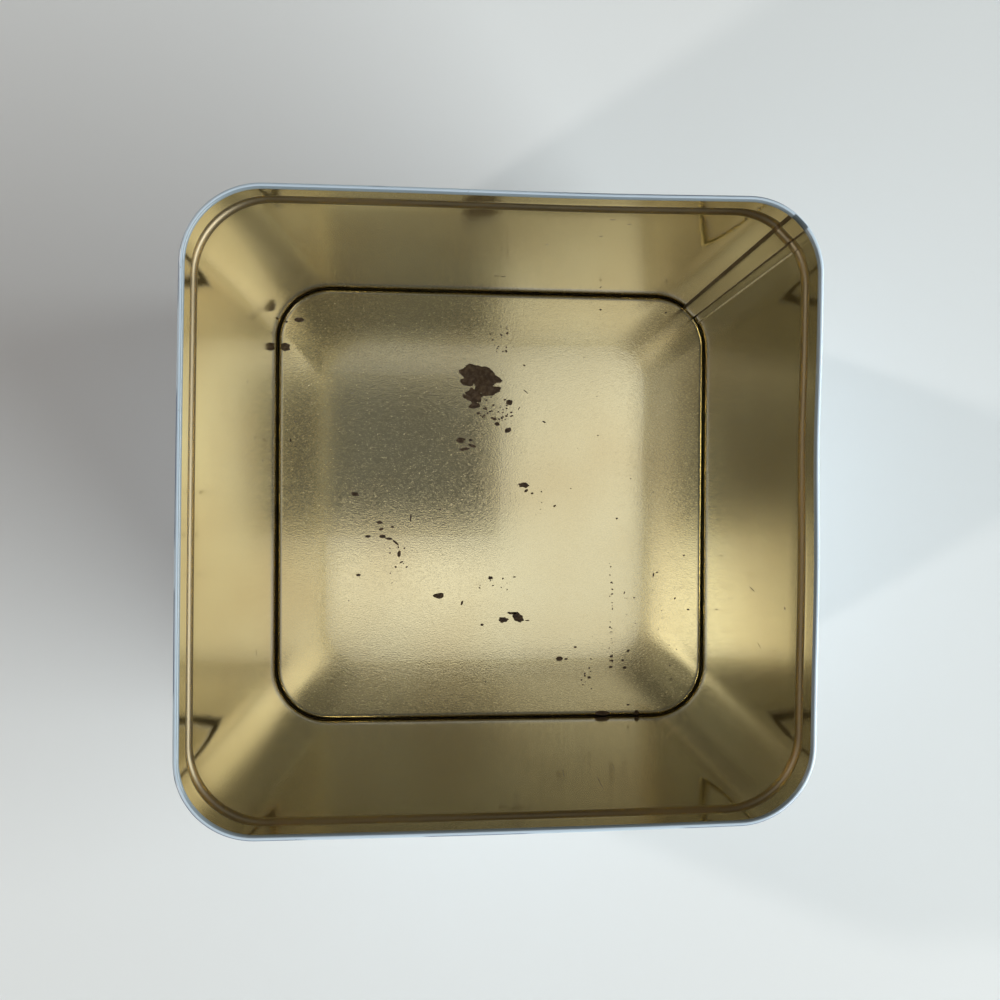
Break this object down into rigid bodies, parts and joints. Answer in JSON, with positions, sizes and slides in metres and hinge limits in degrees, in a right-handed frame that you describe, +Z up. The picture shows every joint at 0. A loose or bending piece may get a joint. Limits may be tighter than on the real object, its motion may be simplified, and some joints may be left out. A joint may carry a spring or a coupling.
{
  "type": "square tin box",
  "caption": "Open square tinplate box with rounded corners, a curled rim, a lid-stop bead, a lock seam down one corner and a double-seamed end.",
  "frame": {"origin": "middle of the base, in the plane that the double seam stands on", "axes": "+Z up out of the open mouth; the lock seam runs down the corner between +X and +Y; -Y is the front"},
  "size_m": [0.1322, 0.1322, 0.102],
  "materials": {
    "painted_tinplate": "light blue enamel outside and over the rim curl, satin gold lacquer inside",
    "lacquered_tinplate": "satin gold lacquer over rolled tinplate, with fine rolling grain"
  },
  "bodies": {
    "root": {"tin_body": "painted_tinplate", "tin_end": "lacquered_tinplate"}
  },
  "joints": []
}
